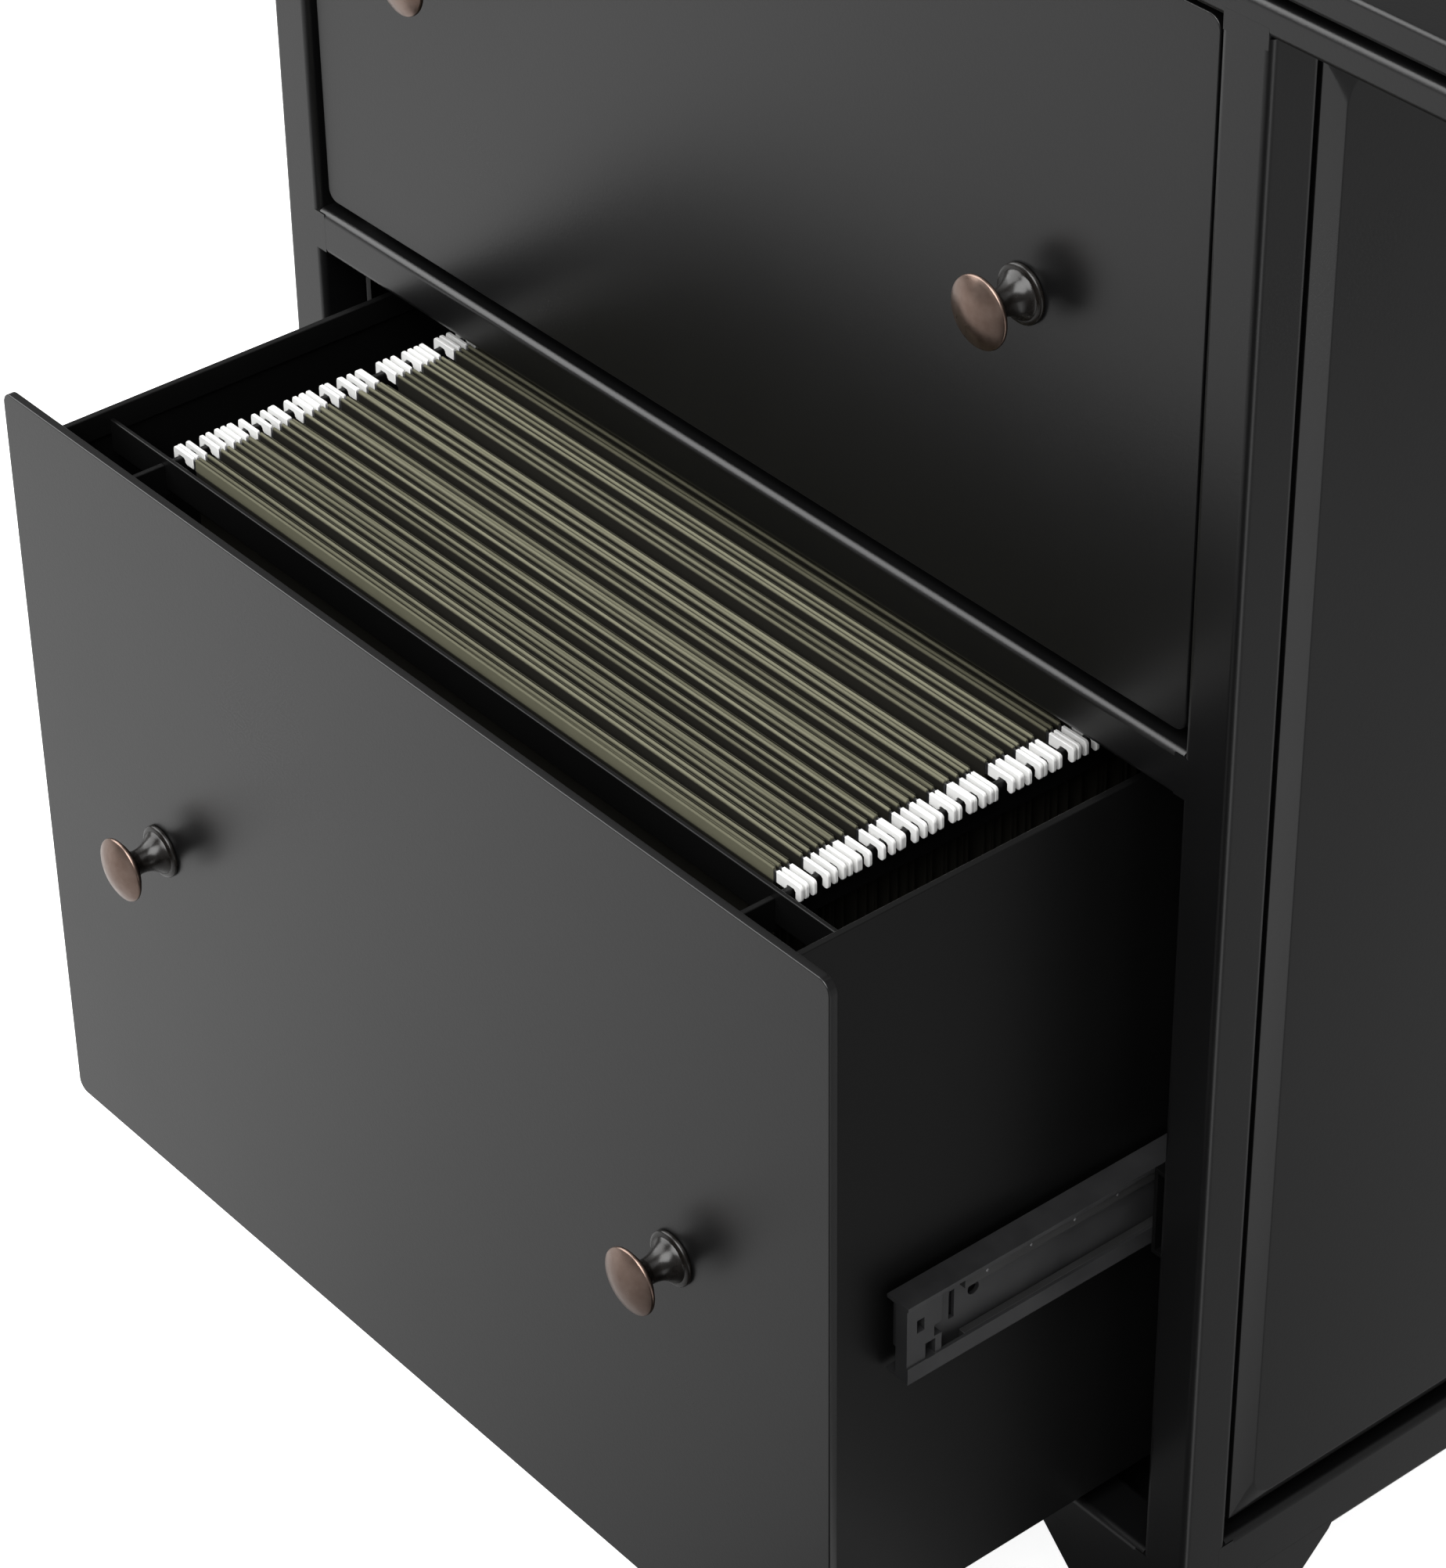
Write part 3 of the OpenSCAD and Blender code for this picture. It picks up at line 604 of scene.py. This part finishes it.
# Which way each set points: along an axis, up or down it, or out to both sides
for node, axis, way, shank_r, head_h in (("top_screws", 2, 1, 2 * MM, 2.4 * MM),
                                         ("back_screws", 1, -1, 1.5 * MM, 1.8 * MM),
                                         ("slide_screws", 0, 0, 1.6 * MM, 1.6 * MM),
                                         ("upper_knob_screws", 1, -1, 2 * MM, 2 * MM),
                                         ("lower_knob_screws", 1, -1, 2 * MM, 2 * MM)):
    seats, aims = [], []
    for lo, hi in solids(node):
        seat = [(a + b) / 2 for a, b in zip(lo, hi)]
        sign = way or (1 if seat[0] > 0 else -1)
        seat[axis] = lo[axis] + head_h if sign > 0 else hi[axis] - head_h
        seats.append(seat)
        aims.append([sign if i == axis else 0 for i in range(3)])
    shank = screw_shape(shank_r, hi[axis] - lo[axis] - head_h,
                        (hi[(axis + 1) % 3] - lo[(axis + 1) % 3]) / 2, head_h)
    points = bpy.data.meshes.new(node)
    points.from_pydata(seats, [], [])
    points.attributes.new("aim", "FLOAT_VECTOR", "POINT")
    for stored, value in zip(points.attributes["aim"].data, aims):
        stored.vector = value
    screws = grown(node + "_turned", points, screw_tree, Screw=shank, Material=zinc)
    bpy.data.objects.remove(shank)
    soften(screws, 0, angle=40)
    finish(screws, BODY_OF[node], SLOT_OF[node], node)

# ---- Slides ------------------------------------------------------------------------
# Telescopic slides of rolled black steel: an outer member on the case, a middle one and
# an inner one on the drawer box, with plastic strips of steel balls between them.
slide_steel, shader, place = new_material("black_slide_steel")
grain = place.noise(60, 4, 0.6)
stretch = place.node("ShaderNodeMapping", Vector=place, Scale=(1, 0.06, 1))
lines = stretch.noise(900, 3)
feed(shader, Base_Color=grain.spread(0, 1).tint((0.022, 0.022, 0.023), (0.036, 0.036, 0.037)),
     Metallic=0.35, Roughness=grain.spread(0.30, 0.42), Normal=lines.bump(0.00002, 0.5))
for level in ("upper", "lower"):
    for hand in ("left", "right"):
        for part in ("outer", "middle", "inner"):
            node = f"{level}_{part}_member_{hand}"
            dressed(node, node + "_rolled", slide_steel, 0.2 * MM)
    dressed(level + "_ball_cages", level + "_cage_strips", black_plastic, 0.15 * MM)

# Steel balls seated in the strips, a row to each, with a little of each ball standing out
BALL_R, BALL_PITCH = 1.5 * MM, 18 * MM
ball_tree, given = new_tree("ball_rows", Count="Int", Pitch="Float", Radius="Float",
                            Material="Material")
step = given["Pitch"].node("ShaderNodeCombineXYZ", X=0.0, Y=given["Pitch"], Z=0.0)
line = step.node("GeometryNodeMeshLine", Count=given["Count"], Offset=step)
ball = line.node("GeometryNodeMeshUVSphere", Segments=10, Rings=6, Radius=given["Radius"])
balls = line.node("GeometryNodeInstanceOnPoints", Points=line, Instance=ball)
rows = balls.node("GeometryNodeInstanceOnPoints", Points=given["Geometry"], Instance=balls)
close_tree(ball_tree, rows, given["Material"])
for level in ("upper", "lower"):
    strips = solids(level + "_ball_cages")
    count = int((strips[0][1][1] - strips[0][0][1]) / BALL_PITCH)
    starts = bpy.data.meshes.new(level + "_balls")
    starts.from_pydata([((lo[0] + hi[0]) / 2, lo[1] + BALL_PITCH / 2, (lo[2] + hi[2]) / 2)
                        for lo, hi in strips], [], [])
    balls = grown(level + "_slide_balls", starts, ball_tree, Count=count, Pitch=BALL_PITCH,
                  Radius=BALL_R, Material=zinc)
    soften(balls, 0, angle=80)
    finish(balls, BODY_OF[level + "_ball_cages"], "zinc_steel")

# ---- Drawer boxes ------------------------------------------------------------------
# Five sheets to each box: a front wall behind the drawer front, two sides hemmed along
# their tops, a back and a raised bottom, in a darker, duller copy of the black coat that
# paints the shade inside the drawer.
for level in ("upper", "lower"):
    for part in ("front", "left", "right", "back", "bottom"):
        node = f"{level}_box_{part}"
        dressed(node, node + "_sheet", shaded_inner_coat, 0.3 * MM)

# ---- Drawer fronts -----------------------------------------------------------------
# A sheet of steel in front of the box, folded back all round to a shallow rim, with a
# soft bend at its edges.
for level in ("upper", "lower"):
    node = level + "_drawer_front"
    lo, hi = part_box(node)
    w, h, t = hi[0] - lo[0], hi[2] - lo[2], hi[1] - lo[1]
    corner, bend = 4.5 * MM, 0.45 * MM
    inner = (corner - SHEET,) * 4
    rings = [(outline(w - 2 * SHEET, h - 2 * SHEET, inner), SHEET),
             (outline(w - 2 * SHEET, h - 2 * SHEET, inner), t),
             (outline(w - 0.6 * MM, h - 0.6 * MM, (corner,) * 4), t),
             (outline(w, h, (corner,) * 4), t - 0.3 * MM)]
    for i in range(7):
        a = math.radians(15 * i)
        inset = bend * (1 - math.cos(a))
        rings.append((outline(w - 2 * inset, h - 2 * inset, (corner - inset,) * 4),
                      bend * (1 - math.sin(a))))
    rings.append((outline(w - 9 * MM, h - 9 * MM, (0.6 * MM,) * 4), 0))
    mid_z = (lo[2] + hi[2]) / 2
    face = pressed(level + "_front_pressing", rings,
                   lambda u, v, depth: (u, lo[1] + depth, mid_z + v))
    soften(face, 0, angle=50)
    finish(face, BODY_OF[node], "black_paint", node, material=coat)

# ---- Knobs -------------------------------------------------------------------------
# A turned metal knob with a shallow dome, rubbed to copper, on a dark flared foot and a
# rose plate. A screw from inside the box holds each one.


def lathe(name, profile, centres, steps=64):
    """Turns a profile of (radius, distance out of the front) about each knob's axis."""
    work = bmesh.new()
    for x, y, z in centres:
        rings = []
        for r, out in profile:
            rings.append([work.verts.new((x + r * math.cos(2 * math.pi * i / steps), y - out,
                                          z + r * math.sin(2 * math.pi * i / steps)))
                          for i in range(steps)])
        join_rings(work, rings)
    obj = from_bmesh(name, work)
    soften(obj, 0, angle=50)
    return obj


bronze, shader, place = new_material("copper_bronze")
patina = place.noise(170, 4, 0.6)
worn = place.noise(420, 3)
feed(shader, Base_Color=patina.spread(0, 1).tint((0.175, 0.118, 0.095), (0.25, 0.185, 0.155)),
     Metallic=1.0, Roughness=worn.spread(0.26, 0.36), Normal=worn.bump(0.00003, 0.4))
dark_bronze, shader, place = new_material("dark_bronze")
patina = place.noise(260, 4, 0.6)
feed(shader, Base_Color=patina.spread(0, 1).tint((0.003, 0.0025, 0.002), (0.008, 0.0065, 0.0055)),
     Metallic=0.15, Roughness=patina.spread(0.20, 0.32))

for level in ("upper", "lower"):
    head_lo, head_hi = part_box(level + "_knobs")
    front_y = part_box(level + "_drawer_front")[0][1]
    radius = (head_hi[2] - head_lo[2]) / 2
    length = front_y - head_lo[1]
    mid_z = (head_lo[2] + head_hi[2]) / 2
    spots = [(head_lo[0] + radius, front_y, mid_z), (head_hi[0] - radius, front_y, mid_z)]
    rose_lo, rose_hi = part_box(level + "_knob_roses")
    rose_r = (rose_hi[2] - rose_lo[2]) / 2
    step_r, step_out = rose_r - 1.4 * MM, 1.9 * MM
    rose = lathe(level + "_rose_plates",
                 [(0.3 * MM, 0), (rose_r - 0.3 * MM, 0), (rose_r, 0.3 * MM), (rose_r, 1.1 * MM),
                  (rose_r - 0.4 * MM, 1.6 * MM), (step_r, step_out), (0.3 * MM, step_out)], spots)
    finish(rose, BODY_OF[level + "_knob_roses"], "rose_dark", level + "_knob_roses",
           material=dark_bronze)

    # The waisted neck: a foot as wide as the step on the rose, a thin waist, a flare
    waist, rim = 4.2 * MM, length - 3.9 * MM
    under = rim - 1.9 * MM
    neck = [(0.3 * MM, step_out), (step_r - 0.3 * MM, step_out)]
    for i in range(13):
        t = i / 12
        neck.append((waist + (step_r - 0.5 * MM - waist) * (1 - t) ** 2.6,
                     step_out + 0.5 * MM + (under - step_out - 4.5 * MM) * t))
    neck += [(waist + 1.0 * MM, under - 2.2 * MM), (waist + 3.2 * MM, under - 0.6 * MM),
             (waist + 5.2 * MM, under), (0.3 * MM, under)]
    foot = lathe(level + "_knob_necks", neck, spots)
    finish(foot, BODY_OF[level + "_knobs"], "rose_dark", material=dark_bronze)

    # The head: a thin saucer underneath, a round rim and a shallow dome
    rim_r = 0.9 * MM
    head = [(0.3 * MM, under - 0.1 * MM), (waist + 5 * MM, under - 0.1 * MM),
            (radius - 1.6 * MM, rim - 1.0 * MM)]
    head += [(radius - rim_r + rim_r * math.cos(math.radians(a)),
              rim + rim_r * math.sin(math.radians(a))) for a in (-60, -30, 0, 30, 55)]
    edge_r, edge_out = head[-1]
    for i in range(1, 11):
        t = i / 10
        head.append((max(edge_r * (1 - t), 0.25 * MM),
                     edge_out + (length - edge_out) * (1 - (1 - t) ** 2)))
    head = lathe(level + "_knob_heads", head, spots)
    finish(head, BODY_OF[level + "_knobs"], "knob_bronze", level + "_knobs", material=bronze)

# ---- File frame --------------------------------------------------------------------
# Two flat bars across the lower drawer's box, notched over two flat rails that the
# folders hang from.
dressed("file_bars", "file_cross_bars", shaded_inner_coat, 0.3 * MM)
dressed("file_rails", "file_side_rails", shaded_inner_coat, 0.3 * MM)

# ---- Hanging folders ---------------------------------------------------------------
# Letter-size folders of olive card. Each leaf is hemmed over a flat steel bar, and both
# ends of the bar are coated white and hooked over the file rails.
LEAVES, LEAF_PITCH = 48, 3.1 * MM
lo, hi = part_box("folders")
leaf_half, leaf_top, leaf_foot = hi[0], hi[2], lo[2]
first_leaf = lo[1] + 0.31 * LEAF_PITCH


# A row of leaves: each is shifted, turned and bowed by chance, the same for the leaf and
# for its hooks, and carries a shade of its own for the material.
row, given = new_tree("file_row", Count="Int", Pitch="Float", First="Float", Seed="Int",
                      Slip="Float", Turn="Float", Bow="Float", Half="Float",
                      Material="Material")


def by_chance(low, high, salt):
    """A random number for each leaf."""
    seed = given["Seed"].node("ShaderNodeMath", {"operation": "ADD"}, _0=given["Seed"], _1=salt)
    return seed.node("FunctionNodeRandomValue", {"data_type": "FLOAT"}, 1, _2=low, _3=high,
                     Seed=seed)


line = given["Count"].node("GeometryNodeMeshLine", Count=given["Count"],
                           Start_Location=(0, 0, 0), Offset=(0, 0, 0))
index = line.node("GeometryNodeInputIndex")
slip = given["Slip"]
along = index * given["Pitch"] + given["First"] + by_chance(-1.0, 1.0, 1) * slip
where = along.node("ShaderNodeCombineXYZ", X=by_chance(-1.0, 1.0, 2) * slip * 0.8, Y=along,
                   Z=by_chance(-1.0, 0.0, 3) * slip * 0.6)
spots = line.node("GeometryNodeSetPosition", Geometry=line, Position=where)
yaw = spots.node("ShaderNodeCombineXYZ", X=by_chance(-1.0, 1.0, 6) * given["Turn"] * 3, Y=0.0,
                 Z=by_chance(-1.0, 1.0, 4) * given["Turn"])
leaves = spots.node("GeometryNodeInstanceOnPoints", Points=spots, Instance=given["Geometry"],
                    Rotation=yaw)
# The front leaf is marked "open", so the card's painted fold shade spares its face.
first = index.node("ShaderNodeMath", {"operation": "LESS_THAN"}, _0=index, _1=0.5)
for label, number in (("bow", by_chance(-1.0, 1.0, 5)), ("shade", by_chance(0.0, 1.0, 7)),
                      ("open", first)):
    leaves = leaves.node("GeometryNodeStoreNamedAttribute",
                         {"data_type": "FLOAT", "domain": "INSTANCE"}, Geometry=leaves,
                         Name=label, Value=number)
leaves = leaves.node("GeometryNodeRealizeInstances", Geometry=leaves)
bow = leaves.node("GeometryNodeInputNamedAttribute", {"data_type": "FLOAT"}, Name="bow")
at = leaves.node("GeometryNodeInputPosition")
across = at.node("ShaderNodeSeparateXYZ", Vector=at)
share = across.node("ShaderNodeMath", {"operation": "DIVIDE"}, _0=across, _1=given["Half"])
ease = share.node("ShaderNodeClamp", Value=1 - share * share, Min=0.0, Max=1.0)
shift = ease.node("ShaderNodeCombineXYZ", X=0.0, Y=bow * ease * given["Bow"], Z=0.0)
leaves = leaves.node("GeometryNodeSetPosition", Geometry=leaves, Offset=shift)
close_tree(row, leaves, given["Material"])
ROW = {"Count": LEAVES, "Pitch": LEAF_PITCH, "First": first_leaf, "Seed": 11,
       "Slip": 0.22 * MM, "Turn": math.radians(0.10), "Bow": 0.7 * MM, "Half": leaf_half}

# One leaf: a round hem over its bar, drawn in to the single card below, and the bare edge
# of the folder's paper lining between it and the next
HEM, CARD = 0.5 * MM, 0.25 * MM
section = [(CARD, leaf_foot - leaf_top), (CARD, -12 * MM), (0.45 * MM, -10 * MM),
           (HEM, -7 * MM), (HEM, -HEM)]
section += [(HEM * math.cos(math.radians(a)), -HEM + HEM * math.sin(math.radians(a)))
            for a in (30, 60, 90)]
section += [(-y, z) for y, z in reversed(section[:-1])]
edge = [(-0.16 * MM, leaf_foot - leaf_top), (-0.16 * MM, -1.0 * MM), (0, -0.85 * MM),
        (0.16 * MM, -1.0 * MM), (0.16 * MM, leaf_foot - leaf_top)]
stations = 14


def drawn(work, section, half, shift, top):
    """A section in Y and Z drawn along X from one side to the other."""
    rings = []
    for i in range(stations + 1):
        x = half * (2 * i / stations - 1)
        rings.append([work.verts.new((x, y + shift, top + z)) for y, z in section])
    join_rings(work, rings)


work = bmesh.new()
drawn(work, section, leaf_half, 0, leaf_top)
drawn(work, edge, leaf_half - 1.5 * MM, 0.5 * LEAF_PITCH, leaf_top)
leaf = mesh_of("leaf", work)

# Painted shade darkens the card below each crest, down in the folds where the light hardly
# reaches. The front leaf, which nothing shades, keeps its colour further down its face.
card, shader, place = new_material("olive_card")
fibre = place.node("ShaderNodeMapping", Vector=place, Scale=(0.3, 1, 1)).noise(1500, 3)
cloud = place.noise(60, 3)
own = place.node("ShaderNodeAttribute", {"attribute_name": "shade"}, 2)
shown = place.node("ShaderNodeAttribute", {"attribute_name": "open"}, 2)
tone = own * 0.75 + cloud * 0.25
height = place.node("ShaderNodeSeparateXYZ", out=2, Vector=place)
depth = (leaf_top - height) * (1 / MM) - shown * 3.6
painted_fold_shade = depth.node("ShaderNodeMapRange", {"interpolation_type": "SMOOTHSTEP"}, _0=depth,
                    _1=0.4, _2=1.3, _3=0.0, _4=1.0)
crest = tone.tint((0.060, 0.058, 0.036), (0.165, 0.160, 0.110))
# The near-black colour is painted shade in the folds, not the card's own colour.
feed(shader, Base_Color=painted_fold_shade.node("ShaderNodeMix", {"data_type": "RGBA"}, 2, _0=painted_fold_shade,
                                    _6=crest, _7=(0.0045, 0.0038, 0.0016, 1)),
     Roughness=0.8, Specular_IOR_Level=0.25, Normal=fibre.bump(0.00006, 0.6))
folder_leaves = grown("folder_leaves", leaf, row, Material=card, **ROW)
soften(folder_leaves, 0, angle=50)
finish(folder_leaves, "lower_drawer", "folder_paper", "folders")

# The bare ends of the bars between the card and the white coating
BAR_THICK, BAR_TOP, BAR_FOOT, BAR_TAPER = 0.8 * MM, -0.9 * MM, -8.4 * MM, 4.6 * MM
bar_start, bar_end = leaf_half - 8 * MM, leaf_half + 2.4 * MM
work = bmesh.new()
for side in (-1, 1):
    plate(work, [(side * bar_start, BAR_FOOT), (side * bar_end, BAR_FOOT + BAR_TAPER),
                 (side * bar_end, BAR_TOP), (side * bar_start, BAR_TOP)],
          lambda u, v, d: (u, d - BAR_THICK / 2, leaf_top + v), BAR_THICK)
bars = mesh_of("bars", work)
folder_bars = grown("folder_bars", bars, row, Material=zinc, **ROW)
soften(folder_bars, 0)
finish(folder_bars, "lower_drawer", "zinc_steel")

# One leaf's two hooks: flat strips with a notch for the rail and a tip turned down
rail_lo, rail_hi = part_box("file_rails")
hook_lo, hook_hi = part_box("folder_hooks")
rail_mid = rail_hi[0] - 1.0 * MM
tip_x, over = hook_hi[0], 2.4 * MM
THICK, NOTCH, TIP_R = 1.25 * MM, 1.9 * MM, 1.3 * MM
hook_start, hook_foot, tip_foot = leaf_half + 1.4 * MM, -4.4 * MM, -5.8 * MM
hook = [(hook_start, -0.3 * MM), (hook_start, hook_foot), (rail_mid - NOTCH - 0.8 * MM, hook_foot),
        (rail_mid - NOTCH, hook_foot + 0.8 * MM), (rail_mid - NOTCH, -over - 0.6 * MM),
        (rail_mid - NOTCH + 0.6 * MM, -over), (rail_mid + NOTCH - 0.6 * MM, -over),
        (rail_mid + NOTCH, -over - 0.6 * MM), (rail_mid + NOTCH, tip_foot + 0.4 * MM)]
for middle_z, turn_from in ((tip_foot + TIP_R, -90), (-TIP_R - 0.2 * MM, 0)):
    hook += [(tip_x - TIP_R + TIP_R * math.cos(math.radians(turn_from + a)),
              middle_z + TIP_R * math.sin(math.radians(turn_from + a))) for a in (0, 30, 60, 90)]
work = bmesh.new()
for side in (1, -1):
    plate(work, hook, lambda u, v, d: (side * u, d - THICK / 2, leaf_top + v), THICK)
hooks = mesh_of("hooks", work)
white = moulded("white_hook_coating", (0.62, 0.62, 0.61), 0.4)
hook_tips = grown("hook_tips", hooks, row, Material=white, **ROW)
soften(hook_tips, 0.2 * MM, 1, angle=50)
finish(hook_tips, "lower_drawer", "hook_white", "folder_hooks")
